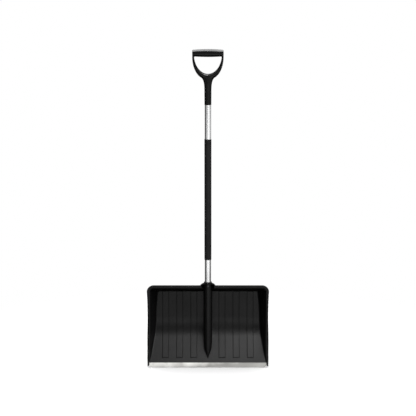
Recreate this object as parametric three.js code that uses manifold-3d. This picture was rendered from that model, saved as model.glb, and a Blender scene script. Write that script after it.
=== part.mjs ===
// A snow shovel standing upright: scoop blade at the bottom, aluminium shaft, D-shaped hand grip on top.
// Millimetres. +Z runs up the shaft, the open side of the blade faces -Y, +X is to the right.
import * as THREE from 'three';
import { ConvexGeometry } from 'three/addons/geometries/ConvexGeometry.js';
import { mergeVertices } from 'three/addons/utils/BufferGeometryUtils.js';
import Module from 'manifold-3d';

const wasm = await Module();
wasm.setup();

// ---------------------------------------------------------------- driving dimensions

const FIT_GAP = 0.25;                 // clearance between pieces that touch

const TUBE_RADIUS = 14;
const TUBE_WALL = 1.3;
const TUBE_BOTTOM = 270;
const TUBE_TOP = 1270;
const ROUND_SIDES = 40;               // facets round the shaft and everything that fits on it

const SLEEVE_RADIUS = 15.6;
const SLEEVE_BOTTOM = 492;
const SLEEVE_TOP = 1036;

const PAN_FRONT = -18;                // plane of the rim, in front of the shaft axis
const PAN_DEPTH = 82;
const PAN_BACK = PAN_FRONT + PAN_DEPTH;
const PAN_HALF_WIDTH = 262;           // inside, at the rim
const PAN_TOP = 361;                  // inside of the heel wall, at the rim
const SIDE_DRAFT = THREE.MathUtils.degToRad(16);
const HEEL_DRAFT = THREE.MathUtils.degToRad(18);
const PAN_CORNER = 18;
const PAN_FILLET = 8;
const WALL = 3.5;
const FLOOR_WALL = 4;

const BEND_START = 213;               // where the upright part of the floor begins to turn forward
const BEND_RADIUS = 170;
const BEND_ANGLE = THREE.MathUtils.degToRad(32);

const RIM_TOP = 378;
const RIM_LIP_DEPTH = 13;
const RIM_SKIN = 3;
const RIM_CORNER = 25;
const BLADE_HALF_TOP = 276.5;         // outer half widths: just under the corner, at the waist, at the tips
const BLADE_HALF_WAIST = 273.2;
const BLADE_HALF_TIP = 275.5;
const CORNER_END = 350;
const WAIST_HEIGHT = 200;
const TIP_HEIGHT = 7;
const TIP_FRONT = -42;

const RIB_WIDTH = 28;
const RIB_HEIGHT = 2.4;
const RIB_PITCH = 64.5;
const RIB_BOTTOM = 39;
const RIBS_PER_SIDE = 3;
const GROOVE_WIDTH = 20;

const SOCKET_RADIUS = 18;
const SOCKET_MOUTH = 390;
const SOCKET_FLOOR = 256;
const RIDGE_TIP = 30;
const RIDGE_TAPER_START = 100;
const RIDGE_SKIN = 3;
const WEB_HEIGHTS = [150, 205, 310];
const WEB_THICKNESS = 3;
const HOOD_HALF_WIDTH = 38;
const HOOD_TOP = 385.5;
const HOOD_FRONT = -13;
const HOOD_CREST = 16;
const HOOD_BACK = 50;

const STRIP_HALF_WIDTH = 266;
const STRIP_FRONT_LEG = 22;           // measured up the slope from the cutting edge
const STRIP_BACK_LEG = 27;
const STRIP_THICKNESS = 1.8;
const STRIP_NOSE = 5.5;
const STRIP_CORNER_CUT = 9;
const TONGUE_FRONT = 0.6;             // the floor is thinned to a tongue that the strip clasps
const TONGUE_BACK = 3.4;
const RIVET_COUNT = 9;
const RIVET_PITCH = 62;
const RIVET_RADIUS = 2.4;
const RIVET_HEAD_RADIUS = 4.4;
const RIVET_UP_SLOPE = 16;
const RIVET_SIDES = 12;

const SCREW_HEAD_RADIUS = 4.4;
const SCREW_HEAD_HEIGHT = 2.4;
const SCREW_SHANK_RADIUS = 2.3;
const SCREW_LENGTH = 20;
const BLADE_SCREW_HEIGHT = 371.5;
const GRIP_SCREW_HEIGHT = 1235;

const LOWER_PLUG_TOP = 400;
const UPPER_PLUG_BOTTOM = 1205;

const GRIP_TOP = 1431;
const GRIP_HALF_WIDTH = 68.8;
const BAR_BOTTOM = 1397.5;
const BAR_HALF_DEPTH = 15;
const BAR_BOW = 3;                    // how much the bar is fatter in the middle, top and bottom
const CAP_HEIGHT = 9.5;
const GRIP_SOCKET_BOTTOM = 1187;
const GRIP_SOCKET_RADIUS = 15.6;
const GRIP_SOCKET_DEPTH = 88;
const ARM_HALF_DEPTH = 10.5;

// ---------------------------------------------------------------- helpers

const point = (x, y) => new THREE.Vector2(x, y);

function solid(geometry) {
  const bare = geometry.clone();
  bare.deleteAttribute('normal');
  bare.deleteAttribute('uv');
  const welded = mergeVertices(bare, 1e-4);
  return new wasm.Manifold(new wasm.Mesh({
    numProp: 3,
    vertProperties: new Float32Array(welded.attributes.position.array),
    triVerts: new Uint32Array(welded.index.array),
  }));
}

function geometryOf(manifold) {
  const mesh = manifold.getMesh();
  const geometry = new THREE.BufferGeometry();
  geometry.setAttribute('position', new THREE.BufferAttribute(mesh.vertProperties, 3));
  geometry.setIndex(new THREE.BufferAttribute(mesh.triVerts, 1));
  geometry.computeVertexNormals();
  return geometry;
}

function extrusion(outline, depth) {
  const shape = outline instanceof THREE.Shape ? outline : new THREE.Shape(outline);
  return new THREE.ExtrudeGeometry(shape, { depth, bevelEnabled: false, steps: 1, curveSegments: 20 });
}

// An outline of (y, z) points pushed along X.
function alongX(outline, from, to) {
  const turn = new THREE.Matrix4().makeBasis(
    new THREE.Vector3(0, 1, 0), new THREE.Vector3(0, 0, 1), new THREE.Vector3(1, 0, 0));
  return solid(extrusion(outline, to - from).applyMatrix4(turn).translate(from, 0, 0));
}

// An outline of (x, z) points pushed along Y.
function alongY(outline, from, to) {
  return solid(extrusion(outline, to - from).rotateX(Math.PI / 2).translate(0, to, 0));
}

// An outline of (x, y) points pushed along Z.
function alongZ(outline, from, to) {
  return solid(extrusion(outline, to - from).translate(0, 0, from));
}

// A profile of (radius, height) points turned about the Z axis.
function turned(profile, sides = ROUND_SIDES) {
  return new THREE.LatheGeometry(profile, sides).rotateX(Math.PI / 2);
}

function rod(radius, from, to, sides = ROUND_SIDES) {
  return solid(turned([point(0, from), point(radius, from), point(radius, to), point(0, to)], sides));
}

// A rod along Y, centred on (x, z).
function crossRod(radius, x, z, from, to, sides = 24) {
  const profile = [point(0, from), point(radius, from), point(radius, to), point(0, to)];
  return solid(new THREE.LatheGeometry(profile, sides).translate(x, 0, z));
}

function box(xRange, yRange, zRange) {
  const size = [xRange, yRange, zRange].map(([low, high]) => high - low);
  const middle = [xRange, yRange, zRange].map(([low, high]) => (high + low) / 2);
  return solid(new THREE.BoxGeometry(...size).translate(...middle));
}

function union(first, ...others) {
  return others.reduce((whole, next) => whole.add(next), first);
}

// ---------------------------------------------------------------- blade outlines

// The floor of the pan seen from the side, as (y, z) points from the top down. offset moves it backwards.
const slope = point(Math.sin(BEND_ANGLE), Math.cos(BEND_ANGLE));          // up the sloping floor
const slopeBack = point(Math.cos(BEND_ANGLE), -Math.sin(BEND_ANGLE));     // out of its back
const bendCentre = PAN_BACK - BEND_RADIUS;
const bendEnd = point(
  bendCentre + BEND_RADIUS * Math.cos(BEND_ANGLE), BEND_START - BEND_RADIUS * Math.sin(BEND_ANGLE));
const cuttingEdge = bendEnd.clone().addScaledVector(slope, -bendEnd.y / slope.y);

function onSlope(up, back) {
  return cuttingEdge.clone().addScaledVector(slope, up).addScaledVector(slopeBack, back);
}

function floorLine(offset, top, up) {
  const line = [point(PAN_BACK + offset, top)];
  const steps = 8;
  for (let i = 0; i <= steps; i++) {
    const angle = BEND_ANGLE * i / steps;
    const radius = BEND_RADIUS + offset;
    line.push(point(bendCentre + radius * Math.cos(angle), BEND_START - radius * Math.sin(angle)));
  }
  line.push(onSlope(up, offset));
  return line;
}

// The front edge of the side walls: straight down from the rim, then forward to the tip.
function frontEdge(offset) {
  const curve = new THREE.QuadraticBezierCurve(
    point(PAN_FRONT + offset, 75), point(PAN_FRONT + offset, 34), point(TIP_FRONT + offset, TIP_HEIGHT));
  return [point(PAN_FRONT + offset, RIM_TOP + 20), ...curve.getPoints(8)];
}

// Front view of the blade's outer edge, inset by a distance.
function bladeOutline(inset) {
  const half = BLADE_HALF_TOP - inset;
  const corner = RIM_CORNER - inset;
  const shape = new THREE.Shape();
  shape.moveTo(BLADE_HALF_TIP - inset, -10);
  shape.lineTo(BLADE_HALF_TIP - inset, TIP_HEIGHT);
  shape.quadraticCurveTo(BLADE_HALF_WAIST - inset - 1, WAIST_HEIGHT, half, CORNER_END);
  shape.quadraticCurveTo(half, RIM_TOP - inset, half - corner, RIM_TOP - inset);
  shape.lineTo(corner - half, RIM_TOP - inset);
  shape.quadraticCurveTo(-half, RIM_TOP - inset, -half, CORNER_END);
  shape.quadraticCurveTo(inset + 1 - BLADE_HALF_WAIST, WAIST_HEIGHT, inset - BLADE_HALF_TIP, TIP_HEIGHT);
  shape.lineTo(inset - BLADE_HALF_TIP, -10);
  shape.closePath();
  return shape;
}

// One ring of the pan's drafted walls: a rectangle with round top corners, at a depth behind the rim.
function panRing(y, grow, extraInset) {
  const depth = y - PAN_FRONT;
  const half = PAN_HALF_WIDTH - depth * Math.tan(SIDE_DRAFT) + grow - extraInset;
  const top = PAN_TOP - depth * Math.tan(HEEL_DRAFT) + grow - extraInset;
  const corner = PAN_CORNER + grow - extraInset - depth * 0.05;
  const ring = [];
  for (const side of [1, -1]) {
    for (let i = 0; i <= 6; i++) {
      const angle = Math.PI / 2 * i / 6;
      const x = side * (half - corner + corner * Math.cos(angle));
      ring.push(new THREE.Vector3(x, y, top - corner + corner * Math.sin(angle)));
    }
    ring.push(new THREE.Vector3(side * half, y, -40));
  }
  return ring;
}

// The drafted block that the pan's walls lie on, with a rounded edge round its back.
function panBlock(grow, back) {
  const points = panRing(PAN_FRONT - 50, grow, 0);
  for (let i = 0; i <= 4; i++) {
    const angle = Math.PI / 2 * i / 4;
    const y = back - PAN_FILLET + PAN_FILLET * Math.sin(angle);
    points.push(...panRing(y, grow, PAN_FILLET * (1 - Math.cos(angle))));
  }
  return solid(new ConvexGeometry(points));
}

// Front view of the ridge: straight sides, closing to a point at the bottom.
function ridgeOutline(inset) {
  const half = SOCKET_RADIUS - inset;
  const tip = RIDGE_TIP + inset * 3;
  const shape = new THREE.Shape();
  shape.moveTo(half, RIM_TOP);
  shape.lineTo(half, RIDGE_TAPER_START);
  shape.quadraticCurveTo(half, RIDGE_TAPER_START - 28, 0, tip);
  shape.quadraticCurveTo(-half, RIDGE_TAPER_START - 28, -half, RIDGE_TAPER_START);
  shape.lineTo(-half, RIM_TOP);
  shape.closePath();
  return shape;
}

// The ridge from above: a half circle round the shaft with sides running to the back.
function ridgePlan(radius) {
  const shape = new THREE.Shape();
  shape.moveTo(radius, PAN_BACK + 30);
  shape.lineTo(radius, 0);
  shape.absarc(0, 0, radius, 0, Math.PI, true);
  shape.lineTo(-radius, PAN_BACK + 30);
  shape.closePath();
  return shape;
}

// ---------------------------------------------------------------- blade

function buildBlade() {
  const wide = BLADE_HALF_TOP + 20;
  const tipUp = TIP_HEIGHT / slope.y;
  const inFrontOfFloor = (offset) => alongX(
    [point(-200, 500), ...floorLine(offset, 500, -60), point(-200, -60)], -wide, wide);
  const outerSide = alongX([...frontEdge(0), onSlope(tipUp, FLOOR_WALL),
    ...floorLine(FLOOR_WALL, RIM_TOP + 20, tipUp + 20).reverse()], -wide, wide);
  const inside = panBlock(0, PAN_BACK).intersect(inFrontOfFloor(0));
  const body = panBlock(WALL, PAN_BACK + FLOOR_WALL).intersect(outerSide);

  // Rim: a flat band round the opening with a lip turned back, hollow from behind.
  const band = (front, back) => alongX([...frontEdge(front), point(TIP_FRONT + back + 6, TIP_HEIGHT),
    point(PAN_FRONT + back, 50), point(PAN_FRONT + back, RIM_TOP + 20)], -wide, wide);
  const rim = band(0, RIM_LIP_DEPTH).intersect(alongY(bladeOutline(0), -80, 40));
  const rimHollow = band(RIM_SKIN, RIM_LIP_DEPTH + 20).intersect(alongY(bladeOutline(RIM_SKIN), -80, 40))
    .subtract(box([-wide, wide], [-90, 60], [-20, 22]))
    .subtract(box([-HOOD_HALF_WIDTH - 8, HOOD_HALF_WIDTH + 8], [-90, 60], [300, 420]));
  const rimWithLip = rim.subtract(rimHollow);

  // Hood: a low dome on the heel behind the socket mouth, sloping away behind, with a funnel cut in front.
  const dome = new THREE.Shape();
  dome.moveTo(HOOD_HALF_WIDTH, PAN_TOP - 30);
  dome.lineTo(HOOD_HALF_WIDTH, PAN_TOP + 4);
  dome.bezierCurveTo(HOOD_HALF_WIDTH - 8, RIM_TOP + 6, 18, HOOD_TOP, 0, HOOD_TOP);
  dome.bezierCurveTo(-18, HOOD_TOP, 8 - HOOD_HALF_WIDTH, RIM_TOP + 6, -HOOD_HALF_WIDTH, PAN_TOP + 4);
  dome.lineTo(-HOOD_HALF_WIDTH, PAN_TOP - 30);
  dome.closePath();
  const hoodSide = [point(PAN_FRONT + 1, PAN_TOP - 30), point(PAN_FRONT + 1, RIM_TOP - 1),
    point(HOOD_FRONT, HOOD_TOP + 5), point(HOOD_CREST, HOOD_TOP + 5), point(HOOD_BACK - 12, PAN_TOP + 1),
    point(HOOD_BACK, PAN_TOP - 15), point(HOOD_BACK, PAN_TOP - 30)];
  const hood = alongY(dome, -60, 60).intersect(alongX(hoodSide, -60, 60));
  const hoodFrontCut = solid(turned([point(0, PAN_TOP - 2), point(SOCKET_RADIUS + 3, PAN_TOP - 2),
    point(HOOD_HALF_WIDTH + 8, RIM_TOP + 14), point(0, RIM_TOP + 14)]))
    .intersect(box([-60, 60], [-60, -7], [300, 420]));

  // Ribs pressed out of the floor, hollow behind so that the wall stays even.
  const ribPlates = [];
  const grooves = [];
  const ribPlate = [...floorLine(-RIB_HEIGHT, PAN_TOP, 60), ...floorLine(1, PAN_TOP, 60).reverse()];
  const grooveFill = [...floorLine(FLOOR_WALL - RIB_HEIGHT, PAN_TOP, 60),
    ...floorLine(FLOOR_WALL + 9, PAN_TOP, 60).reverse()];
  for (const side of [-1, 1]) {
    for (let i = 1; i <= RIBS_PER_SIDE; i++) {
      const x = side * i * RIB_PITCH;
      const above = box([x - 40, x + 40], [-60, 90], [RIB_BOTTOM, PAN_TOP]);
      ribPlates.push(alongX(ribPlate, x - RIB_WIDTH / 2, x + RIB_WIDTH / 2).intersect(above));
      grooves.push(alongX(grooveFill, x - GROOVE_WIDTH / 2, x + GROOVE_WIDTH / 2)
        .subtract(box([x - 40, x + 40], [-60, 90], [318, PAN_TOP + 9])));
    }
  }

  // Ridge over the shaft: round in front, open behind, with the socket tube and cross webs inside.
  const insideBlade = panBlock(WALL - 0.5, PAN_BACK + FLOOR_WALL).intersect(outerSide);
  const ridge = alongZ(ridgePlan(SOCKET_RADIUS), 0, RIM_TOP)
    .intersect(alongY(ridgeOutline(0), -60, 90)).intersect(insideBlade);
  const socketTube = solid(turned([point(0, SOCKET_FLOOR - 4), point(SOCKET_RADIUS, SOCKET_FLOOR - 4),
    point(SOCKET_RADIUS, SOCKET_MOUTH - 3), point(SOCKET_RADIUS - 1.5, SOCKET_MOUTH), point(0, SOCKET_MOUTH)]));
  const keepTube = rod(SOCKET_RADIUS - 0.5, SOCKET_FLOOR - 4, SOCKET_MOUTH);
  let channel = alongZ(ridgePlan(SOCKET_RADIUS - RIDGE_SKIN), 0, PAN_TOP - 30)
    .intersect(alongY(ridgeOutline(RIDGE_SKIN), -60, 90))
    .intersect(alongX([...floorLine(-300, 500, -60), point(200, -60), point(200, 500)], -40, 40))
    .subtract(keepTube);
  for (const z of WEB_HEIGHTS) {
    channel = channel.subtract(box([-40, 40], [-60, PAN_BACK - 3], [z, z + WEB_THICKNESS]));
  }
  const bore = rod(TUBE_RADIUS + FIT_GAP, SOCKET_FLOOR, SOCKET_MOUTH + 5);
  const screwSeat = PAN_FRONT + 1.2;
  const screwHole = union(crossRod(SCREW_HEAD_RADIUS + 0.6, 0, BLADE_SCREW_HEIGHT, -30, screwSeat),
    crossRod(SCREW_SHANK_RADIUS + FIT_GAP, 0, BLADE_SCREW_HEIGHT, -30, 0));

  // The cutting end: a tongue inside the metal strip, full thickness beyond it, walls ending in tips.
  const clearWidth = STRIP_HALF_WIDTH + FIT_GAP;
  const stripRoom = alongX([onSlope(-20, -30), onSlope(STRIP_FRONT_LEG + FIT_GAP, -30),
    onSlope(STRIP_FRONT_LEG + FIT_GAP, TONGUE_FRONT), onSlope(STRIP_NOSE + FIT_GAP, TONGUE_FRONT),
    onSlope(STRIP_NOSE + FIT_GAP, TONGUE_BACK), onSlope(STRIP_BACK_LEG + FIT_GAP, TONGUE_BACK),
    onSlope(STRIP_BACK_LEG + FIT_GAP, 30), onSlope(-20, 30)], -clearWidth, clearWidth);

  return union(body, rimWithLip, hood)
    .subtract(inside)
    .subtract(hoodFrontCut)
    .add(union(...ribPlates).intersect(insideBlade))
    .subtract(union(...grooves))
    .add(ridge)
    .subtract(channel)
    .add(socketTube)
    .subtract(bore)
    .subtract(screwHole)
    .subtract(stripRoom)
    .subtract(union(...rivetPlaces().map(rivetHole)));
}

// ---------------------------------------------------------------- wear edge and its rivets

function rivetPlaces() {
  const places = [];
  for (let i = 0; i < RIVET_COUNT; i++) {
    places.push((i - (RIVET_COUNT - 1) / 2) * RIVET_PITCH);
  }
  return places;
}

// Turns a lathe whose axis is Y so that it lies square to the sloping floor, at one rivet's place.
function ontoSlope(geometry, x) {
  const place = onSlope(RIVET_UP_SLOPE, 0);
  return geometry.rotateX(-BEND_ANGLE).translate(x, place.x, place.y);
}

const STRIP_FACE = TONGUE_FRONT - FIT_GAP - STRIP_THICKNESS;
const STRIP_REAR = TONGUE_BACK + FIT_GAP + STRIP_THICKNESS;

function rivetHole(x) {
  const radius = RIVET_RADIUS + FIT_GAP;
  const profile = [point(0, -20), point(radius, -20), point(radius, 20), point(0, 20)];
  return solid(ontoSlope(new THREE.LatheGeometry(profile, RIVET_SIDES), x));
}

function countersink(x) {
  const head = RIVET_HEAD_RADIUS + FIT_GAP;
  const shank = RIVET_RADIUS + FIT_GAP;
  const profile = [point(0, STRIP_FACE - 1), point(head, STRIP_FACE - 1), point(head, STRIP_FACE),
    point(shank, STRIP_FACE + 1.5), point(0, STRIP_FACE + 1.5)];
  return solid(ontoSlope(new THREE.LatheGeometry(profile, RIVET_SIDES), x));
}

function buildWearEdge() {
  const flatUp = (back) => back * Math.tan(BEND_ANGLE);        // where the sole is cut level
  const section = [onSlope(flatUp(STRIP_FACE), STRIP_FACE), onSlope(STRIP_FRONT_LEG, STRIP_FACE),
    onSlope(STRIP_FRONT_LEG, STRIP_FACE + STRIP_THICKNESS), onSlope(STRIP_NOSE, STRIP_FACE + STRIP_THICKNESS),
    onSlope(STRIP_NOSE, STRIP_REAR - STRIP_THICKNESS), onSlope(STRIP_BACK_LEG, STRIP_REAR - STRIP_THICKNESS),
    onSlope(STRIP_BACK_LEG, STRIP_REAR), onSlope(flatUp(STRIP_REAR), STRIP_REAR)];
  const front = [point(-STRIP_HALF_WIDTH + STRIP_CORNER_CUT, -5), point(STRIP_HALF_WIDTH - STRIP_CORNER_CUT, -5),
    point(STRIP_HALF_WIDTH - STRIP_CORNER_CUT, 0), point(STRIP_HALF_WIDTH, STRIP_CORNER_CUT),
    point(STRIP_HALF_WIDTH, 60), point(-STRIP_HALF_WIDTH, 60), point(-STRIP_HALF_WIDTH, STRIP_CORNER_CUT),
    point(-STRIP_HALF_WIDTH + STRIP_CORNER_CUT, 0)];
  const holes = rivetPlaces().flatMap((x) => [rivetHole(x), countersink(x)]);
  return alongX(section, -STRIP_HALF_WIDTH, STRIP_HALF_WIDTH)
    .intersect(alongY(front, -100, 60)).subtract(union(...holes));
}

function rivetGeometry(x) {
  const dome = 2.2;
  const profile = [point(0, STRIP_FACE), point(RIVET_HEAD_RADIUS, STRIP_FACE),
    point(RIVET_RADIUS, STRIP_FACE + 1.5), point(RIVET_RADIUS, STRIP_REAR + FIT_GAP),
    point(RIVET_HEAD_RADIUS, STRIP_REAR + FIT_GAP)];
  for (let i = 1; i <= 3; i++) {
    const angle = Math.PI / 2 * i / 3;
    const radius = i === 3 ? 0 : RIVET_HEAD_RADIUS * Math.cos(angle);
    profile.push(point(radius, STRIP_REAR + FIT_GAP + dome * Math.sin(angle)));
  }
  return ontoSlope(new THREE.LatheGeometry(profile, RIVET_SIDES), x);
}

// ---------------------------------------------------------------- shaft

function tubeProfile(outer, inner, from, to, edge) {
  return [point(inner, from), point(outer - edge, from), point(outer, from + edge), point(outer, to - edge),
    point(outer - edge, to), point(inner, to), point(inner, from)];
}

function buildTube() {
  const hole = SCREW_SHANK_RADIUS + FIT_GAP;
  return solid(turned(tubeProfile(TUBE_RADIUS, TUBE_RADIUS - TUBE_WALL, TUBE_BOTTOM, TUBE_TOP, 0.3)))
    .subtract(crossRod(hole, 0, BLADE_SCREW_HEIGHT, -30, 0))
    .subtract(crossRod(hole, 0, GRIP_SCREW_HEIGHT, 0, 30));
}

function buildPlug(from, to, screwHeight, screwSide) {
  const radius = TUBE_RADIUS - TUBE_WALL - FIT_GAP;
  const reach = [0, screwSide * 30].sort((a, b) => a - b);
  const chamfer = 1.5;
  const body = solid(turned([point(0, from), point(radius - chamfer, from), point(radius, from + chamfer),
    point(radius, to - chamfer), point(radius - chamfer, to), point(0, to)]));
  const throughHole = [reach[0] - (screwSide > 0 ? 8 : 0), reach[1] + (screwSide < 0 ? 8 : 0)];
  return body.subtract(crossRod(SCREW_SHANK_RADIUS + FIT_GAP, 0, screwHeight, ...throughHole));
}

// A pan-head screw along Y whose head faces the given side, seated at a distance from the shaft axis.
function screwGeometry(seat, side) {
  const head = [point(0, 0), point(SCREW_SHANK_RADIUS - 0.8, 0), point(SCREW_SHANK_RADIUS, 1.5),
    point(SCREW_SHANK_RADIUS, SCREW_LENGTH), point(SCREW_HEAD_RADIUS, SCREW_LENGTH),
    point(SCREW_HEAD_RADIUS, SCREW_LENGTH + SCREW_HEAD_HEIGHT * 0.5),
    point(SCREW_HEAD_RADIUS * 0.75, SCREW_LENGTH + SCREW_HEAD_HEIGHT), point(0, SCREW_LENGTH + SCREW_HEAD_HEIGHT)];
  const screw = new THREE.LatheGeometry(head, 24).translate(0, seat - SCREW_LENGTH, 0);
  return side < 0 ? screw.rotateX(Math.PI) : screw;
}

// A cross recess that a driver fits, cut into a screw head.
function crossRecess(faceY, side) {
  const depth = [faceY - side * 1.4, faceY + side * 1].sort((a, b) => a - b);
  return union(box([-2.2, 2.2], depth, [-0.5, 0.5]), box([-0.5, 0.5], depth, [-2.2, 2.2]));
}

function buildScrew(seat, side) {
  return solid(screwGeometry(seat, side)).subtract(crossRecess(side * (seat + SCREW_HEAD_HEIGHT), side));
}

// ---------------------------------------------------------------- hand grip

// Front view of the bar: bowed top and bottom, as a closed outline. lift shifts the lower edge up.
function barOutline(low, lowBow, high, highBow) {
  const shape = new THREE.Shape();
  const half = GRIP_HALF_WIDTH;
  shape.moveTo(-half, low + lowBow);
  shape.quadraticCurveTo(0, low - lowBow, half, low + lowBow);
  shape.lineTo(half, high - highBow);
  shape.quadraticCurveTo(0, high + highBow, -half, high - highBow);
  shape.closePath();
  return shape;
}

// Oval section of the bar, a little flat in front and behind.
function barSection() {
  const middle = (GRIP_TOP + BAR_BOTTOM) / 2;
  const halfHeight = (GRIP_TOP - BAR_BOTTOM) / 2 + 0.5;
  const section = [];
  for (let i = 0; i < 28; i++) {
    const angle = Math.PI * 2 * i / 28;
    const c = Math.cos(angle);
    const s = Math.sin(angle);
    section.push(point(BAR_HALF_DEPTH * Math.sign(c) * Math.abs(c) ** 0.8,
      middle + halfHeight * Math.sign(s) * Math.abs(s) ** 0.8));
  }
  return section;
}

// Front view of the arms and yoke: outer edge, with the hand opening cut out.
function yokeOutline() {
  const shape = new THREE.Shape();
  const waist = 17.2;
  shape.moveTo(-GRIP_HALF_WIDTH, 1412);
  shape.bezierCurveTo(-GRIP_HALF_WIDTH, 1352, -60, 1338, -36, 1311);
  shape.bezierCurveTo(-26, 1300, -waist - 1, 1296, -waist, 1277);
  shape.lineTo(-waist, 1262);
  shape.lineTo(waist, 1262);
  shape.lineTo(waist, 1277);
  shape.bezierCurveTo(waist + 1, 1296, 26, 1300, 36, 1311);
  shape.bezierCurveTo(60, 1338, GRIP_HALF_WIDTH, 1352, GRIP_HALF_WIDTH, 1412);
  shape.closePath();
  const opening = new THREE.Path();
  opening.moveTo(60.8, 1408);
  opening.bezierCurveTo(59.5, 1350, 34, 1323.5, 0, 1323.5);
  opening.bezierCurveTo(-34, 1323.5, -59.5, 1350, -60.8, 1408);
  opening.closePath();
  shape.holes.push(opening);
  return shape;
}

// Side view of the arms and yoke: as deep as the socket below, slimmer up the arms.
function yokeSide() {
  const deep = 16.6;
  const side = [point(deep, 1262), point(deep, 1285)];
  const ease = new THREE.CubicBezierCurve(
    point(deep, 1285), point(deep, 1315), point(ARM_HALF_DEPTH, 1320), point(ARM_HALF_DEPTH, 1350));
  side.push(...ease.getPoints(8).slice(1), point(ARM_HALF_DEPTH + 2, 1412));
  const mirrored = side.map((p) => point(-p.x, p.y)).reverse();
  return [...side, ...mirrored];
}

// A bell that rounds the yoke's corners off where it runs into the round socket.
function yokeBell() {
  const flare = new THREE.CubicBezierCurve(point(16.6, 1262), point(17, 1310), point(45, 1300), point(100, 1372));
  return solid(turned([point(0, 1262), ...flare.getPoints(10), point(100, 1450), point(0, 1450)]));
}

function buildGrip() {
  const barBody = alongX(barSection(), -GRIP_HALF_WIDTH, GRIP_HALF_WIDTH);
  const capLine = GRIP_TOP - CAP_HEIGHT;
  const bar = barBody.intersect(alongY(barOutline(BAR_BOTTOM, BAR_BOW / 2, capLine - FIT_GAP, BAR_BOW / 2), -40, 40));
  const cap = barBody.intersect(alongY(barOutline(capLine, -BAR_BOW / 2, GRIP_TOP, BAR_BOW / 2), -40, 40));
  const yoke = alongY(yokeOutline(), -40, 40).intersect(alongX(yokeSide(), -100, 100)).intersect(yokeBell())
    .subtract(alongY(barOutline(capLine - FIT_GAP, -BAR_BOW / 2, GRIP_TOP + 30, 0), -60, 60));
  const socketTop = GRIP_SOCKET_BOTTOM + GRIP_SOCKET_DEPTH;
  const socket = solid(turned([point(0, GRIP_SOCKET_BOTTOM), point(GRIP_SOCKET_RADIUS - 0.6, GRIP_SOCKET_BOTTOM),
    point(GRIP_SOCKET_RADIUS, GRIP_SOCKET_BOTTOM + 2), point(GRIP_SOCKET_RADIUS + 0.2, 1225),
    point(16.4, 1262), point(17, socketTop + 6), point(13, 1296), point(0, 1302)]));
  const boss = crossRod(6.8, 0, GRIP_SCREW_HEIGHT, 0, GRIP_SOCKET_RADIUS + 2.2);
  const seat = GRIP_SOCKET_RADIUS + 0.4;
  const frame = union(bar, yoke, socket, boss)
    .subtract(rod(TUBE_RADIUS + FIT_GAP, GRIP_SOCKET_BOTTOM - 5, socketTop))
    .subtract(crossRod(SCREW_SHANK_RADIUS + FIT_GAP, 0, GRIP_SCREW_HEIGHT, 5, 30))
    .subtract(crossRod(SCREW_HEAD_RADIUS + 0.5, 0, GRIP_SCREW_HEIGHT, seat, 30));
  return { frame, cap };
}

// ---------------------------------------------------------------- the shovel

const blackPlastic = { color: 0x202122, roughness: 0.45, metalness: 0 };
const softBlack = { color: 0x18191a, roughness: 0.7, metalness: 0 };
const softGrey = { color: 0xa4a4a4, roughness: 0.75, metalness: 0 };
const corePlastic = { color: 0x3a3a3a, roughness: 0.6, metalness: 0 };
const anodised = { color: 0xd8dadb, roughness: 0.28, metalness: 1 };
const millAluminium = { color: 0xcfcfca, roughness: 0.4, metalness: 1 };
const blackSteel = { color: 0x2a2a2c, roughness: 0.4, metalness: 1 };

const shovel = new THREE.Group();

function addPiece(name, geometry, finish) {
  const mesh = new THREE.Mesh(geometry, new THREE.MeshStandardMaterial(finish));
  mesh.name = name;
  shovel.add(mesh);
  return mesh;
}

addPiece('blade', geometryOf(buildBlade()), blackPlastic);
addPiece('wear_edge', geometryOf(buildWearEdge()), millAluminium);
rivetPlaces().forEach((x, i) => addPiece(`wear_edge_rivet_${i + 1}`, rivetGeometry(x), millAluminium));

addPiece('shaft_tube', geometryOf(buildTube()), anodised);
addPiece('grip_sleeve', turned(tubeProfile(
  SLEEVE_RADIUS, TUBE_RADIUS + FIT_GAP, SLEEVE_BOTTOM, SLEEVE_TOP, 0.9)), softBlack);
addPiece('lower_tube_plug', geometryOf(
  buildPlug(TUBE_BOTTOM + 1, LOWER_PLUG_TOP, BLADE_SCREW_HEIGHT, -1)), corePlastic);
addPiece('upper_tube_plug', geometryOf(
  buildPlug(UPPER_PLUG_BOTTOM, TUBE_TOP - 1, GRIP_SCREW_HEIGHT, 1)), corePlastic);

const bladeScrew = addPiece('blade_screw', geometryOf(
  buildScrew(-PAN_FRONT - 1.2 + FIT_GAP, -1)), blackSteel);
bladeScrew.position.z = BLADE_SCREW_HEIGHT;
const gripScrew = addPiece('d_grip_screw', geometryOf(
  buildScrew(GRIP_SOCKET_RADIUS + 0.4 + FIT_GAP, 1)), blackSteel);
gripScrew.position.z = GRIP_SCREW_HEIGHT;

const { frame, cap } = buildGrip();
addPiece('d_grip_frame', geometryOf(frame), blackPlastic);
addPiece('d_grip_cap', geometryOf(cap), softGrey);

// The origin is under the middle of the shovel's own depth, not under the shaft.
const deepest = PAN_BACK + FLOOR_WALL;
shovel.position.y = -(TIP_FRONT + deepest) / 2;

export default shovel;
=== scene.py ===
"""Looks for the snow shovel: smooth meshes for its pieces, their materials, the light and the camera."""
import math

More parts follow.
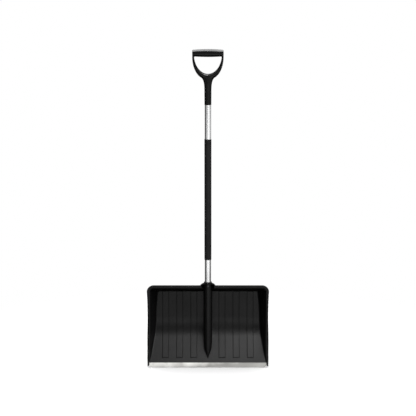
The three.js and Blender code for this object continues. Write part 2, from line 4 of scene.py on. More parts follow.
import bmesh
import bpy
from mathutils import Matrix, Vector


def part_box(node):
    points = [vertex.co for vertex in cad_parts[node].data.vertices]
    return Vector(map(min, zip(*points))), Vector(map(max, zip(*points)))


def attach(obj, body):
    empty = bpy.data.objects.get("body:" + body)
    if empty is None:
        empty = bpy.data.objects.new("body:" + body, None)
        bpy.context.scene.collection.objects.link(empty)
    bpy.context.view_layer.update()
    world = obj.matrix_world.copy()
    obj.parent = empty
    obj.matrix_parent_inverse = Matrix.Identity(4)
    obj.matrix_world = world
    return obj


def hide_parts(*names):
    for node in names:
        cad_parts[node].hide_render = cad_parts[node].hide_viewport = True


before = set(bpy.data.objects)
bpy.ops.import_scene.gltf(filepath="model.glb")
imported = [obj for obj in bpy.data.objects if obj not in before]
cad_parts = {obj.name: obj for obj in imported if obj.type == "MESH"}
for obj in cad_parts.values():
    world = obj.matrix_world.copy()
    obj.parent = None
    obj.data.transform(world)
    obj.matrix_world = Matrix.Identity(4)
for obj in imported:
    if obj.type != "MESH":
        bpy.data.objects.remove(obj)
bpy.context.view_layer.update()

# ---------------------------------------------------------------- frame and sizes, in millimetres
# x is counted from the shaft axis, y too (minus is in front), and z from the ground.

MM = 0.001
SHARP_ANGLE = 32                                # degrees; edges flatter than this are shaded smooth


def node_box(node):
    low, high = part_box(node)
    return [value / MM for value in low], [value / MM for value in high]


tube_low, tube_high = node_box("shaft_tube")
SHAFT_Y = (tube_low[1] + tube_high[1]) / 2      # the shaft axis in the frame
TUBE_RADIUS = (tube_high[0] - tube_low[0]) / 2
TUBE_WALL = 1.3
FIT_GAP = 0.25

PAN_FRONT = -18.0
PAN_DEPTH = 82.0
PAN_BACK = PAN_FRONT + PAN_DEPTH
PAN_HALF_WIDTH = 262.0
PAN_TOP = 361.0
PAN_CORNER = 15.5
CORNER_SHRINK = 0.05
SIDE_SLOPE = math.tan(math.radians(16))
TOP_INSET = 8.0                                 # how much further the walls lean in at INSET_END
INSET_START = 200.0
INSET_END = 325.0
HEEL_SLOPE = math.tan(math.radians(18))
WALL = 3.5
FLOOR_WALL = 4.0

BEND_START = 213.0
BEND_RADIUS = 170.0
BEND_ANGLE = math.radians(32)
BEND_CENTRE = PAN_BACK - BEND_RADIUS
BEND_END = BEND_START - BEND_RADIUS * math.sin(BEND_ANGLE)
EDGE_Y = BEND_CENTRE + BEND_RADIUS * math.cos(BEND_ANGLE) - BEND_END * math.tan(BEND_ANGLE)

RIM_TOP = 378.0
RIM_LIP_DEPTH = 13.0
RIM_SKIN = 2.6
RIM_INNER_EDGE = 2.2                            # radii of the rim's rounded edges
RIM_OUTER_EDGE = 4.5
RIM_LEAN = 3.0                                  # how far the rim's face falls back outwards, low down
RIM_DISH = 0.9
LIP_EDGE = 1.0
LIP_CHAMFER = 0.3
INNER_FILLET = 5.5                              # roundings between the walls and the floor
OUTER_FILLET = 11.0
WALL_SINK = 2.5                                 # how far the walls' foot reaches into the floor
WAIST_HEIGHT = 235.0
WAIST_HALF_WIDTH = 274.6
TIP_HEIGHT = 7.0
TIP_FRONT = -42.0
FRONT_CURVE_TOP = 75.0
FRONT_CURVE_PULL = 34.0
SIDE_END = 300.0                                # side walls are straight up to here, then turn the corner

RIB_WIDTH = 28.0
RIB_HEIGHT = 2.4
RIB_PITCH = 64.5
RIB_BOTTOM = 39.0
RIBS_PER_SIDE = 3
GROOVE_WIDTH = 20.0

SOCKET_RADIUS = 18.0
SOCKET_MOUTH = 390.0
SOCKET_FLOOR = 256.0
RIDGE_TIP = 33.0
RIDGE_TAPER_START = 108.0
RIDGE_TAPER_POWER = 2.1
RIDGE_SKIN = 3.0
RIDGE_COVE = 4.0                                # fillet between the ridge and the floor
WEB_HEIGHTS = (150.0, 205.0, 310.0)
WEB_THICKNESS = 3.0
HOOD_CENTRE_Y = -5.0
HOOD_CENTRE_Z = 346.0
HOOD_HALF_WIDTH = 43.0
HOOD_DEPTH = 39.0
HOOD_HEIGHT = 40.5
HOOD_FULLNESS = 0.62                            # below 1 the dome is boxier than a round one
FRONT_CLEAR = -90.0                             # in front of, and behind, everything that is cut
BACK_CLEAR = 40.0

STRIP_HALF_WIDTH = 266.0
STRIP_FRONT_LEG = 22.0
STRIP_BACK_LEG = 27.0
STRIP_THICKNESS = 1.8
STRIP_NOSE = 5.5
STRIP_CORNER_CUT = 9.0
TONGUE_FRONT = 0.6
TONGUE_BACK = 3.4
STRIP_FACE = TONGUE_FRONT - FIT_GAP - STRIP_THICKNESS
STRIP_REAR = TONGUE_BACK + FIT_GAP + STRIP_THICKNESS
RIVET_COUNT = 9
RIVET_PITCH = 62.0
RIVET_RADIUS = 2.4
RIVET_HEAD_RADIUS = 4.4
RIVET_UP_SLOPE = 16.0
RIVET_DOME = 2.0

SCREW_HEAD_RADIUS = 4.4
SCREW_HEAD_HEIGHT = 2.4
SCREW_SHANK_RADIUS = 2.3
SCREW_SEAT = 1.2                                # how deep the blade's screw head sits
SCREW_LENGTH = 20.0
THREAD_TURNS = 9
THREAD_PITCH = 1.7
THREAD_DEPTH = 0.45
BLADE_SCREW_HEIGHT = 371.5
GRIP_SCREW_HEIGHT = 1235.0

GRIP_TOP = 1431.0
GRIP_HALF_WIDTH = 68.8
BAR_BOW_TOP = 3.4                               # how much the bar thins towards its ends, above and below
BAR_BOW_BOTTOM = 2.6
BAR_END_ROUND = 3.0
BAR_BOTTOM = 1396.4
BAR_HALF_DEPTH = 15.0
BAR_CREASE = 1406.5
CAP_LINE = GRIP_TOP - 7.4
CAP_BOW = 3.6
GRIP_SOCKET_BOTTOM = 1187.0
GRIP_SOCKET_RADIUS = 15.2
GRIP_SOCKET_TOP = 1275.0
ARM_HALF_DEPTH = 10.5
YOKE_HALF_DEPTH = 15.5
YOKE_BOTTOM = 1236.0


# ---------------------------------------------------------------- mesh helpers

def mesh_object(name, points, faces):
    """A smooth-shaded object from points in millimetres round the shaft axis."""
    mesh = bpy.data.meshes.new(name)
    mesh.from_pydata([(x * MM, (y + SHAFT_Y) * MM, z * MM) for x, y, z in points], [], faces)
    obj = bpy.data.objects.new(name, mesh)
    bpy.context.scene.collection.objects.link(obj)
    face_outwards(obj)
    smooth(obj)
    return obj


def face_outwards(obj):
    work = bmesh.new()
    work.from_mesh(obj.data)
    bmesh.ops.recalc_face_normals(work, faces=work.faces)
    work.to_mesh(obj.data)
    work.free()


def smooth(obj, sharp_angle=SHARP_ANGLE):
    obj.data.shade_smooth()
    obj.data.set_sharp_from_angle(angle=math.radians(sharp_angle))


def loft(name, rings):
    """A closed solid through rings of equally many points, with flat ends."""
    count = len(rings[0])
    points = [p for ring in rings for p in ring]
    faces = [tuple(range(count)), tuple(range(len(points) - count, len(points)))]
    for r in range(len(rings) - 1):
        for i in range(count):
            j = (i + 1) % count
            faces.append((r * count + i, r * count + j, (r + 1) * count + j, (r + 1) * count + i))
    return mesh_object(name, points, faces)


def lathe(name, profile, segments=96, centre=(0, 0)):
    """A solid turned about a line along Z.

    The (radius, height) profile starts and ends on the axis, or closes into a ring."""
    closed = profile[0][0] > 0
    rings = profile if closed else profile[1:-1]
    points = [(centre[0] + radius * c, centre[1] + radius * s, height)
              for radius, height in rings for c, s in circle(segments)]
    faces = []
    spans = len(rings) if closed else len(rings) - 1
    for r in range(spans):
        s = (r + 1) % len(rings)
        for i in range(segments):
            j = (i + 1) % segments
            faces.append((r * segments + i, r * segments + j, s * segments + j, s * segments + i))
    if not closed:
        for ring, pole in ((0, profile[0]), (len(rings) - 1, profile[-1])):
            points.append((centre[0], centre[1], pole[1]))
            hub = len(points) - 1
            for i in range(segments):
                faces.append((ring * segments + i, ring * segments + (i + 1) % segments, hub))
    return mesh_object(name, points, faces)


def cross_rod(name, radius, x, z, front, back, segments=32):
    """A rod along Y between two depths."""
    return loft(name, [[(x + radius * c, y, z + radius * s) for c, s in circle(segments)]
                       for y in (front, back)])


def block(name, low, high):
    corners = ((low[0], low[1]), (high[0], low[1]), (high[0], high[1]), (low[0], high[1]))
    return loft(name, [[(x, y, z) for x, y in corners] for z in (low[2], high[2])])


def side_extrusion(name, outline, half_width):
    """An outline of (y, z) points pushed along X."""
    return loft(name, [[(side * half_width, y, z) for y, z in outline] for side in (-1, 1)])


def settle(obj):
    """Applies the object's modifiers to its own mesh."""
    depsgraph = bpy.context.evaluated_depsgraph_get()
    mesh = bpy.data.meshes.new_from_object(obj.evaluated_get(depsgraph))
    obj.modifiers.clear()
    obj.data = mesh


def combine(base, tool, operation):
    """Joins tool to base, or cuts it out, and removes tool."""
    modifier = base.modifiers.new("combine", "BOOLEAN")
    modifier.object = tool
    modifier.operation = operation
    modifier.solver = "MANIFOLD"
    settle(base)
    bpy.data.objects.remove(tool)


def join(base, *tools):
    for tool in tools:
        combine(base, tool, "UNION")


def cut(base, *tools):
    for tool in tools:
        combine(base, tool, "DIFFERENCE")


def rounded(obj, voxel, passes):
    """Melts the object's edges together into one softly rounded skin."""
    remesh = obj.modifiers.new("skin", "REMESH")
    remesh.mode = "VOXEL"
    remesh.voxel_size = voxel * MM
    soften = obj.modifiers.new("soften", "SMOOTH")
    soften.iterations = passes
    soften.factor = 0.5
    settle(obj)


def melt(obj, places, passes):
    """Smooths the skin strongly inside ellipses of (centre x, centre z, half width, half height)."""
    group = obj.vertex_groups.new(name="melt")
    for vertex in obj.data.vertices:
        x, z = vertex.co.x / MM, vertex.co.z / MM
        weight = max(ease(1.6 * (1 - ((x - cx) / width) ** 2 - ((z - cz) / height) ** 2))
                     for cx, cz, width, height in places)
        if weight > 0:
            group.add([vertex.index], weight, "REPLACE")
    soften = obj.modifiers.new("melt", "SMOOTH")
    soften.iterations = passes
    soften.factor = 0.5
    soften.vertex_group = group.name
    settle(obj)
    obj.vertex_groups.clear()


def even_normals(obj):
    """Weights shading by face area, so that flat areas stay flat beside small rounded edges."""
    modifier = obj.modifiers.new("even_normals", "WEIGHTED_NORMAL")
    modifier.keep_sharp = True
    modifier.weight = 60


def ease(t):
    t = min(max(t, 0.0), 1.0)
    return t * t * (3 - 2 * t)


def spread(start, end, count):
    return [start + (end - start) * i / count for i in range(count + 1)]


def circle(count):
    """Cosine and sine of so many evenly spaced angles."""
    return [(math.cos(a), math.sin(a)) for a in spread(0.0, 2 * math.pi, count)[:-1]]


def arc(centre, radius, start, end, count):
    """Points of a round arc in the plane, angles in degrees."""
    return [(centre[0] + radius * math.cos(math.radians(a)), centre[1] + radius * math.sin(math.radians(a)))
            for a in spread(start, end, count)]


def rounded_power(value, power):
    """value to a power with its sign kept: below 1 an oval turns boxier, above 1 more pointed."""
    return math.copysign(abs(value) ** power, value)


def bezier(p0, p1, p2, p3, count):
    points = []
    for t in spread(0.0, 1.0, count):
        weights = ((1 - t) ** 3, 3 * t * (1 - t) ** 2, 3 * t * t * (1 - t), t ** 3)
        points.append(tuple(sum(w * p[k] for w, p in zip(weights, (p0, p1, p2, p3))) for k in (0, 1)))
    return points


# ---------------------------------------------------------------- blade geometry

def on_slope(up, back):
    """A point (y, z) by its distance up the sloping floor from its edge, and behind its front face."""
    return (EDGE_Y + up * math.sin(BEND_ANGLE) + back * math.cos(BEND_ANGLE),
            up * math.cos(BEND_ANGLE) - back * math.sin(BEND_ANGLE))


def floor_y(z, offset=0.0):
    """How far back the floor's face lies at a height."""
    radius = BEND_RADIUS + offset
    if z >= BEND_START:
        return PAN_BACK + offset
    if z >= BEND_START - radius * math.sin(BEND_ANGLE):
        return BEND_CENTRE + math.sqrt(radius ** 2 - (BEND_START - z) ** 2)
    return EDGE_Y + z * math.tan(BEND_ANGLE) + offset / math.cos(BEND_ANGLE)


def front_y(z):
    """Front edge of the side walls: straight down, then forward to the tip."""
    if z >= FRONT_CURVE_TOP:
        return PAN_FRONT
    a = FRONT_CURVE_TOP - 2 * FRONT_CURVE_PULL + TIP_HEIGHT
    b = 2 * (FRONT_CURVE_TOP - FRONT_CURVE_PULL)
    t = (b - math.sqrt(b * b - 4 * a * (FRONT_CURVE_TOP - z))) / (2 * a)
    return PAN_FRONT + (TIP_FRONT - PAN_FRONT) * t * t


def outer_half_width(z):
    """Half the blade's width over its rim: widest under the top corners, slimmest at the waist."""
    if z > WAIST_HEIGHT:
        shoulder_flare, flare_height = 2.8, 116.0
        return WAIST_HALF_WIDTH + shoulder_flare * min((z - WAIST_HEIGHT) / flare_height, 1.0) ** 2.2
    foot_flare = 3.2 * ease((WAIST_HEIGHT - z) / 130.0)
    tip_taper = 3.0 * ease((50.0 - z) / 45.0)
    return WAIST_HALF_WIDTH + foot_flare - tip_taper


def inner_half_width(z, y):
    """Half the pan's width inside its walls, which lean in with depth and a little more towards the top."""
    inset = TOP_INSET * min(max((z - INSET_START) / (INSET_END - INSET_START), 0.0), 1.0) ** 2
    return PAN_HALF_WIDTH - (y - PAN_FRONT) * (SIDE_SLOPE + inset / PAN_DEPTH)


def pan_ring(station, y, grow):
    """A point of the pan's drafted wall at depth y, moved outwards by grow."""
    depth = y - PAN_FRONT
    top = PAN_TOP - depth * HEEL_SLOPE
    corner = PAN_CORNER - depth * CORNER_SHRINK
    kind, side, value = station
    if kind == "side":
        return side * (inner_half_width(value, y) + grow), value
    if kind == "shoulder":
        z = SIDE_END + value * (top - corner - SIDE_END)
        return side * (inner_half_width(z, y) + grow), z
    half = inner_half_width(INSET_END, y)
    if kind == "corner":
        radius = corner + grow
        return side * (half - corner + radius * math.cos(value)), top - corner + radius * math.sin(value)
    return value * (half - corner), top + grow


def pan_stations():
    """Places along the wall from one tip to the other, closest where its front edge curves."""
    tip_top, curve_top = 30.0, 120.0
    rising = [("side", -1, z) for z in spread(TIP_HEIGHT, tip_top, 8)]
    rising += [("side", -1, z) for z in spread(tip_top, curve_top, 18)[1:]]
    rising += [("side", -1, z) for z in spread(curve_top, SIDE_END, 24)[1:]]
    rising += [("shoulder", -1, t) for t in spread(0.0, 1.0, 6)[1:]]
    rising += [("corner", -1, a) for a in spread(0.0, math.pi / 2, 14)[1:]]
    top = [("top", 0, u) for u in spread(-1.0, 1.0, 40)[1:-1]]
    falling = [(kind, 1, value) for kind, _, value in reversed(rising)]
    return rising + top + falling


def rim_width(station):
    """Width of the rim's flat face, from the pan's opening to the blade's outer edge."""
    kind, _, value = station
    top_width = RIM_TOP - PAN_TOP
    side_width = outer_half_width(RIM_TOP) - PAN_HALF_WIDTH
    if kind == "side":
        return outer_half_width(value) - pan_ring(("side", 1, value), front_y(value), 0.0)[0]
    if kind == "shoulder":
        height = pan_ring(station, PAN_FRONT, 0.0)[1]
        return outer_half_width(height) - PAN_HALF_WIDTH
    if kind == "corner":
        return side_width + (top_width - side_width) * value / (math.pi / 2)
    return top_width


def outer_fillet(z):
    """Rounding where the side wall turns into the back of the floor."""
    return min(OUTER_FILLET, 0.4 * (floor_y(z, FLOOR_WALL) - front_y(z)))


def wall_section(station):
    """Section of the wall with its rolled rim, as (depth, outward) pairs going once round.

    Roundings shrink where the wall gets shallow towards the tips."""
    kind, _, value = station
    z = value if kind == "side" else SIDE_END
    front, base, outer_base = front_y(z), floor_y(z), floor_y(z, FLOOR_WALL)
    width = rim_width(station)
    inner_fillet = min(INNER_FILLET, 0.45 * (base - front - WALL_SINK))
    corner_round = outer_fillet(z)
    hollow = 0.6 + (RIM_LIP_DEPTH - 3.6) * ease((z - 14.0) / 50.0)
    room = outer_base - corner_round - 0.8 - front
    lip_depth = room * RIM_LIP_DEPTH / (room ** 6 + RIM_LIP_DEPTH ** 6) ** (1 / 6)
    lip = front + lip_depth
    inner_edge, outer_edge = RIM_INNER_EDGE, min(RIM_OUTER_EDGE, 0.58 * width, 0.6 * lip_depth)
    flat = width - inner_edge - outer_edge
    lean = min(RIM_LEAN * ease((250.0 - z) / 150.0), max(lip_depth - 1.5 - outer_edge, 0.0))
    lean *= ease((z - 5.0) / 40.0)
    # inside: foot, fillet, wall and the rim's inner edge
    points = [(base + WALL_SINK, -inner_fillet - 1.5)]
    points += [(base - inner_fillet + inner_fillet * math.cos(a), -inner_fillet + inner_fillet * math.sin(a))
               for a in spread(math.radians(4), math.pi / 2, 7)]
    points += [(base - inner_fillet + t * (front + inner_edge - base + inner_fillet), 0.0)
               for t in (0.35, 0.7)]
    points += [(front + inner_edge - inner_edge * math.sin(a), inner_edge - inner_edge * math.cos(a))
               for a in spread(0.0, math.pi / 2, 4)]
    # the rim's face, a little dished, and its outer edge
    points += [(front + lean * t * t - RIM_DISH * math.sin(math.pi * t), inner_edge + flat * t)
               for t in spread(0.0, 1.0, 6)[1:-1]]
    points += [(front + lean + outer_edge - outer_edge * math.cos(a),
                width - outer_edge + outer_edge * math.sin(a)) for a in spread(0.0, math.pi / 2, 6)]
    # the lip and the hollow behind it
    points += [(lip - LIP_EDGE, width), (lip - LIP_CHAMFER, width - LIP_CHAMFER), (lip, width - LIP_EDGE)]
    points += [(lip, width - RIM_SKIN + 0.8), (lip - 0.8, width - RIM_SKIN)]
    floor_of_hollow = lip - hollow
    wall_end = max(outer_base - corner_round, floor_of_hollow + 0.3)
    points += [(floor_of_hollow, width - RIM_SKIN), (floor_of_hollow, WALL),
               ((floor_of_hollow + wall_end) / 2, WALL)]
    # outside: rounding into the back of the floor
    points += [(outer_base - corner_round + corner_round * math.sin(a),
                WALL - corner_round + corner_round * math.cos(a)) for a in spread(0.0, math.radians(86), 8)]
    points += [(outer_base - 0.4, WALL - corner_round - 1.5)]
    return points


def build_walls():
    """Side walls and heel wall with the rolled rim, one sweep from tip to tip."""
    rings = []
    for station in pan_stations():
        ring = []
        for depth, outward in wall_section(station):
            x, z = pan_ring(station, depth, outward)
            ring.append((x, depth, z))
        rings.append(ring)
    return loft("walls", rings)


def floor_columns():
    """Positions across the floor, close together where the ribs and grooves have their edges."""
    half_steps = (-15.6, -15.1, -14.6, -14.0, -13.4, -12.9, -12.4, -10.8, -10.0, -9.2, -5.0)
    steps = half_steps + (0.0,) + tuple(-s for s in reversed(half_steps))
    plain_steps = (-20.0, -10.0, 0.0, 10.0, 20.0)
    return [i * RIB_PITCH + s for i in range(-RIBS_PER_SIDE, RIBS_PER_SIDE + 1)
            for s in (steps if i else plain_steps)]


def ramp(distance, half_width, edge):
    """1 inside the half width, 0 outside, with a soft edge that is so wide."""
    return ease((half_width + edge / 2 - abs(distance)) / edge)


def nearest_rib(x):
    number = min(max(round(abs(x) / RIB_PITCH), 1), RIBS_PER_SIDE)
    return abs(x) - number * RIB_PITCH


def build_floor():
    """The floor with ribs pressed up in front and grooves behind."""
    rib_edge, groove_edge, groove_top = 2.6, 1.2, 320.0
    top = PAN_TOP - PAN_DEPTH * HEEL_SLOPE - 5.0
    heights = spread(top, BEND_START, 12) + spread(BEND_START, BEND_END, 26)[1:]
    heights += spread(BEND_END, RIB_BOTTOM + 2.6, 9)[1:]
    heights += spread(RIB_BOTTOM + 1.8, RIB_BOTTOM - 2.0, 8) + spread(RIB_BOTTOM - 6, 3.0, 5)
    columns = floor_columns()
    count = len(columns) + 2
    points = []
    for face in ("front", "back"):
        for z in heights:
            half = inner_half_width(z, floor_y(z))
            half += 0.6 if face == "front" else WALL - outer_fillet(z) - 1.0
            for x in [-half] + columns + [half]:
                rib = nearest_rib(x)
                if face == "front":
                    rise = ramp(rib, RIB_WIDTH / 2, rib_edge) * ease((z - RIB_BOTTOM + 1.6) / 3.2)
                    offset = -RIB_HEIGHT * rise
                else:
                    groove = ramp(rib, GROOVE_WIDTH / 2, groove_edge) * ease((z - RIB_BOTTOM - 5) / 4)
                    offset = FLOOR_WALL - RIB_HEIGHT * groove * ease((groove_top - z) / 6)
                points.append((x, floor_y(z, offset), z))
    faces = []
    face_size = count * len(heights)
    for r in range(len(heights) - 1):
        for i in range(count - 1):
            a = r * count + i
            faces.append((a, a + 1, a + 1 + count, a + count))
            faces.append(tuple(face_size + k for k in (a, a + count, a + 1 + count, a + 1)))
    edge = list(range(count)) + [r * count + count - 1 for r in range(1, len(heights))]
    edge += [face_size - 1 - i for i in range(1, count)]
    edge += [r * count for r in range(len(heights) - 2, 0, -1)]
    for a, b in zip(edge, edge[1:] + edge[:1]):
        faces.append((a, b, b + face_size, a + face_size))
    return mesh_object("floor_plate", points, faces)


def ridge_half_width(z):
    if z >= RIDGE_TAPER_START:
        return SOCKET_RADIUS
    part = max((z - RIDGE_TIP) / (RIDGE_TAPER_START - RIDGE_TIP), 0.0)
    return SOCKET_RADIUS * (1 - (1 - part) ** RIDGE_TAPER_POWER)


def build_ridge():
    """The fin that carries the shaft down the middle of the pan, round in front."""
    straight_top, cove_start, cove_growth = 200.0, 78.0, 40.0
    rings = []
    heights = spread(RIDGE_TIP + 0.3, RIDGE_TAPER_START, 26)
    heights += spread(RIDGE_TAPER_START, straight_top, 12)[1:] + spread(straight_top, PAN_TOP + 8, 10)[1:]
    for z in heights:
        half = ridge_half_width(z)
        foot = min(floor_y(z), PAN_TOP)
        cove = RIDGE_COVE * ease((z - cove_start) / cove_growth)
        ring = [(half + cove + 0.5, foot + 1.5, z)]
        ring += [(half + cove - cove * math.sin(a), foot + 0.2 - cove + cove * math.cos(a), z)
                 for a in spread(0.0, math.pi / 2, 6)]
        reach = foot - cove - 0.5
        ring += [(half, min(max(reach, -2.0), reach * 0.5), z)]
        ring += [(half * math.sin(a), -SOCKET_RADIUS * math.cos(a), z)
                 for a in spread(math.pi / 2, 0.0, 16)]
        ring += [(-x, y, h) for x, y, h in reversed(ring[:-1])]
        rings.append(ring)
    return loft("ridge", rings)


def build_hood():
    """A low dome on the heel that shelters the socket mouth, before it is hollowed."""
    rings = []
    for latitude in spread(-10.0, 88.0, 22):
        a = math.radians(latitude)
        size = math.cos(a) ** HOOD_FULLNESS if latitude > 0 else 1.0
        rings.append([(HOOD_HALF_WIDTH * size * c, HOOD_CENTRE_Y + HOOD_DEPTH * size * s,
                       HOOD_CENTRE_Z + HOOD_HEIGHT * math.sin(a)) for c, s in circle(72)])
    return loft("hood", rings)


def build_hood_hollow():
    """The dark hollow round the socket, open in front and wider towards the top."""
    outline = bezier((19.0, 358.5), (25, 360), (30, 365), (30.3, 373.5), 8)
    outline += bezier((30.3, 373.5), (29.6, 380), (22, 382.5), (0, 383), 8)[1:]
    return lathe("hood_hollow", [(0, 358.5)] + outline, 96, (0.0, -14.0))


def heel_z(y):
    """Height of the heel wall's inner face at depth y."""
    return PAN_TOP - (y - PAN_FRONT) * HEEL_SLOPE


def build_blade():
    blade = build_walls()
    join(blade, build_floor())
    hood = build_hood()
    cut(hood, block("hood_front", (FRONT_CLEAR, FRONT_CLEAR, 250), (-FRONT_CLEAR, PAN_FRONT + 2.5, 420)))
    inside = [(-60.0, 200.0), (PAN_BACK - 2, 200.0), (PAN_BACK - 2, heel_z(PAN_BACK - 2)),
              (PAN_FRONT, PAN_TOP), (-60.0, PAN_TOP)]
    cut(hood, side_extrusion("hood_inside", [(y, z + 0.4) for y, z in inside], -FRONT_CLEAR))
    join(blade, hood)
    cut(blade, build_hood_hollow())
    ridge = build_ridge()
    above_heel = [(y, heel_z(y) + 0.8) for y in (FRONT_CLEAR, 58.0)]
    above_heel += [(60.0, 333.0), (PAN_BACK + 30, 333.0), (PAN_BACK + 30, 500.0), (FRONT_CLEAR, 500.0)]
    cut(ridge, side_extrusion("above_heel", above_heel, 60.0))
    join(blade, ridge)
    cut(blade, build_channel())
    cut_socket(blade)
    cut_strip_room(blade)
    smooth(blade)
    even_normals(blade)
    return blade


def cut_socket(blade):
    """The tube's socket on the ridge, with its bore and the screw's seat."""
    edge, bore, mouth, above = 2, TUBE_RADIUS + FIT_GAP, TUBE_RADIUS + 0.9, SOCKET_MOUTH + 5
    outside = [(0, SOCKET_FLOOR - 4), (SOCKET_RADIUS, SOCKET_FLOOR - 4)]
    outside += [(SOCKET_RADIUS, SOCKET_MOUTH - edge)]
    outside += arc((SOCKET_RADIUS - edge, SOCKET_MOUTH - edge), edge, 15, 90, 5)
    join(blade, lathe("socket", outside + [(0, SOCKET_MOUTH)]))
    cut(blade, lathe("bore", [(0, SOCKET_FLOOR), (bore, SOCKET_FLOOR), (bore, SOCKET_MOUTH - 0.6),
                              (mouth, SOCKET_MOUTH + 0.2), (mouth, above), (0, above)]))
    seat = PAN_FRONT + SCREW_SEAT
    cut(blade, cross_rod("seat", SCREW_HEAD_RADIUS + 0.6, 0, BLADE_SCREW_HEIGHT, -40, seat),
        cross_rod("hole", SCREW_SHANK_RADIUS + FIT_GAP, 0, BLADE_SCREW_HEIGHT, -40, 0))


def cut_strip_room(blade):
    """Thins the floor's edge to the tongue that the strip clasps, and clears the strip's ends."""
    front_top, back_top = STRIP_FRONT_LEG + FIT_GAP, STRIP_BACK_LEG + FIT_GAP
    nose = STRIP_NOSE + FIT_GAP
    room = [on_slope(-20, -30), on_slope(front_top, -30), on_slope(front_top, TONGUE_FRONT),
            on_slope(nose, TONGUE_FRONT), on_slope(nose, TONGUE_BACK), on_slope(back_top, TONGUE_BACK),
            on_slope(back_top, 30), on_slope(-20, 30)]
    cut(blade, side_extrusion("strip_room", room, STRIP_HALF_WIDTH + FIT_GAP))
    for side in (-1, 1):
        x = side * (STRIP_HALF_WIDTH + FIT_GAP)
        cut_corner(blade, x, x - side * (STRIP_CORNER_CUT + 6), STRIP_CORNER_CUT + 2)
        near, far = sorted((x - side * 0.2, side * (STRIP_HALF_WIDTH + 30)))
        cut(blade, block("below_tip", (near, FRONT_CLEAR, -5), (far, BACK_CLEAR, TIP_HEIGHT)))


def cut_corner(obj, outer_x, inner_x, top):
    """Cuts a lower corner off on the slant, from front to back."""
    slant = [(outer_x, -5.0), (inner_x, -5.0), (outer_x, top)]
    cut(obj, loft("corner", [[(x, y, z) for x, z in slant] for y in (FRONT_CLEAR, BACK_CLEAR)]))


def build_channel():
    """The open back of the ridge, with the cross webs left standing in it."""
    nose, closed_below = SOCKET_RADIUS - RIDGE_SKIN, RIDGE_TIP + 16.0
    rings = []
    for z in spread(RIDGE_TIP + 14, RIDGE_TAPER_START, 14) + [PAN_TOP - 30]:
        half = ridge_half_width(z) - RIDGE_SKIN
        ring = [(half, PAN_BACK + 40, z)]
        ring += [(half * math.sin(a), -nose * math.cos(a), z) for a in spread(math.pi / 2, 0.0, 10)]
        ring += [(-x, y, h) for x, y, h in reversed(ring[:-1])]
        rings.append(ring)
    channel = loft("channel", rings)
    kept_radius = SOCKET_RADIUS - 0.4
    cut(channel, lathe("keep_tube", [(0, SOCKET_FLOOR - 3), (kept_radius, SOCKET_FLOOR - 3),
                                     (kept_radius, SOCKET_MOUTH), (0, SOCKET_MOUTH)]))
    for z in WEB_HEIGHTS:
        cut(channel, block("web", (-40, -60, z), (40, PAN_BACK - 3, z + WEB_THICKNESS)))
    cut(channel, side_extrusion("below_tip", [(-200.0, closed_below), (-200.0, 0.0), (100.0, 0.0),
                                              (100.0, closed_below)], 40.0))
    return channel


# ---------------------------------------------------------------- wear edge and rivets

def rivet_places():
    return [(i - (RIVET_COUNT - 1) / 2) * RIVET_PITCH for i in range(RIVET_COUNT)]


def build_wear_edge():
    """Folded metal strip: front leg, level sole, back leg, with soft long edges and cut lower corners."""
    def level(back):
        return back * math.tan(BEND_ANGLE)
    inner_front, inner_back, edge = STRIP_FACE + STRIP_THICKNESS, STRIP_REAR - STRIP_THICKNESS, 0.5
    section = [(level(STRIP_FACE) + 0.9, STRIP_FACE), (STRIP_FRONT_LEG - edge, STRIP_FACE),
               (STRIP_FRONT_LEG - 0.12, STRIP_FACE + 0.15), (STRIP_FRONT_LEG, STRIP_FACE + edge),
               (STRIP_FRONT_LEG, inner_front), (STRIP_NOSE, inner_front), (STRIP_NOSE, inner_back),
               (STRIP_BACK_LEG, inner_back), (STRIP_BACK_LEG, STRIP_REAR - edge),
               (STRIP_BACK_LEG - edge, STRIP_REAR), (level(STRIP_REAR) + 0.9, STRIP_REAR),
               (level(STRIP_REAR - 0.6), STRIP_REAR - 0.6), (level(STRIP_FACE + 0.6), STRIP_FACE + 0.6)]
    outline = [on_slope(up, back) for up, back in section]
    strip = side_extrusion("wear_edge_metal", outline, STRIP_HALF_WIDTH)
    for side in (-1, 1):
        x = side * STRIP_HALF_WIDTH
        cut_corner(strip, x + side, x - side * (STRIP_CORNER_CUT + 5), STRIP_CORNER_CUT + 1)
    for x in rivet_places():
        cut(strip, build_rivet_solid("rivet_room", x, FIT_GAP * 0.4, 1.0))
    smooth(strip, 25)
    even_normals(strip)
    return strip


def build_rivet_solid(name, x, grow=0.0, reach=0.0):
    """A rivet square to the floor: flush tapered head in front, domed head behind.

    grow and reach widen and lengthen it into the cutter for its own hole."""
    head, shank = RIVET_HEAD_RADIUS + grow, RIVET_RADIUS + grow
    if reach:
        profile = [(0, STRIP_FACE - reach), (head, STRIP_FACE - reach), (head - 0.15, STRIP_FACE)]
    else:
        profile = [(0, STRIP_FACE - 0.05), (head - 0.15, STRIP_FACE - 0.02)]
    profile += [(head, STRIP_FACE + 0.12), (shank, STRIP_FACE + 1.5)]
    if reach:
        profile += [(shank, STRIP_REAR + 3), (0, STRIP_REAR + 3)]
    else:
        rear, brim = STRIP_REAR + 0.05, 0.3
        profile += [(shank, rear), (RIVET_HEAD_RADIUS, rear), (RIVET_HEAD_RADIUS, rear + brim)]
        profile += [(RIVET_HEAD_RADIUS * math.cos(a), rear + brim + RIVET_DOME * math.sin(a))
                    for a in spread(math.radians(12), math.radians(84), 7)]
        profile += [(0, rear + brim + RIVET_DOME)]
    rivet = lathe(name, profile, 32)
    for vertex in rivet.data.vertices:
        px, back = vertex.co.x / MM, vertex.co.z / MM
        side = vertex.co.y / MM - SHAFT_Y
        y, z = on_slope(RIVET_UP_SLOPE + side, back)
        vertex.co = Vector(((x + px) * MM, (y + SHAFT_Y) * MM, z * MM))
    face_outwards(rivet)
    return rivet


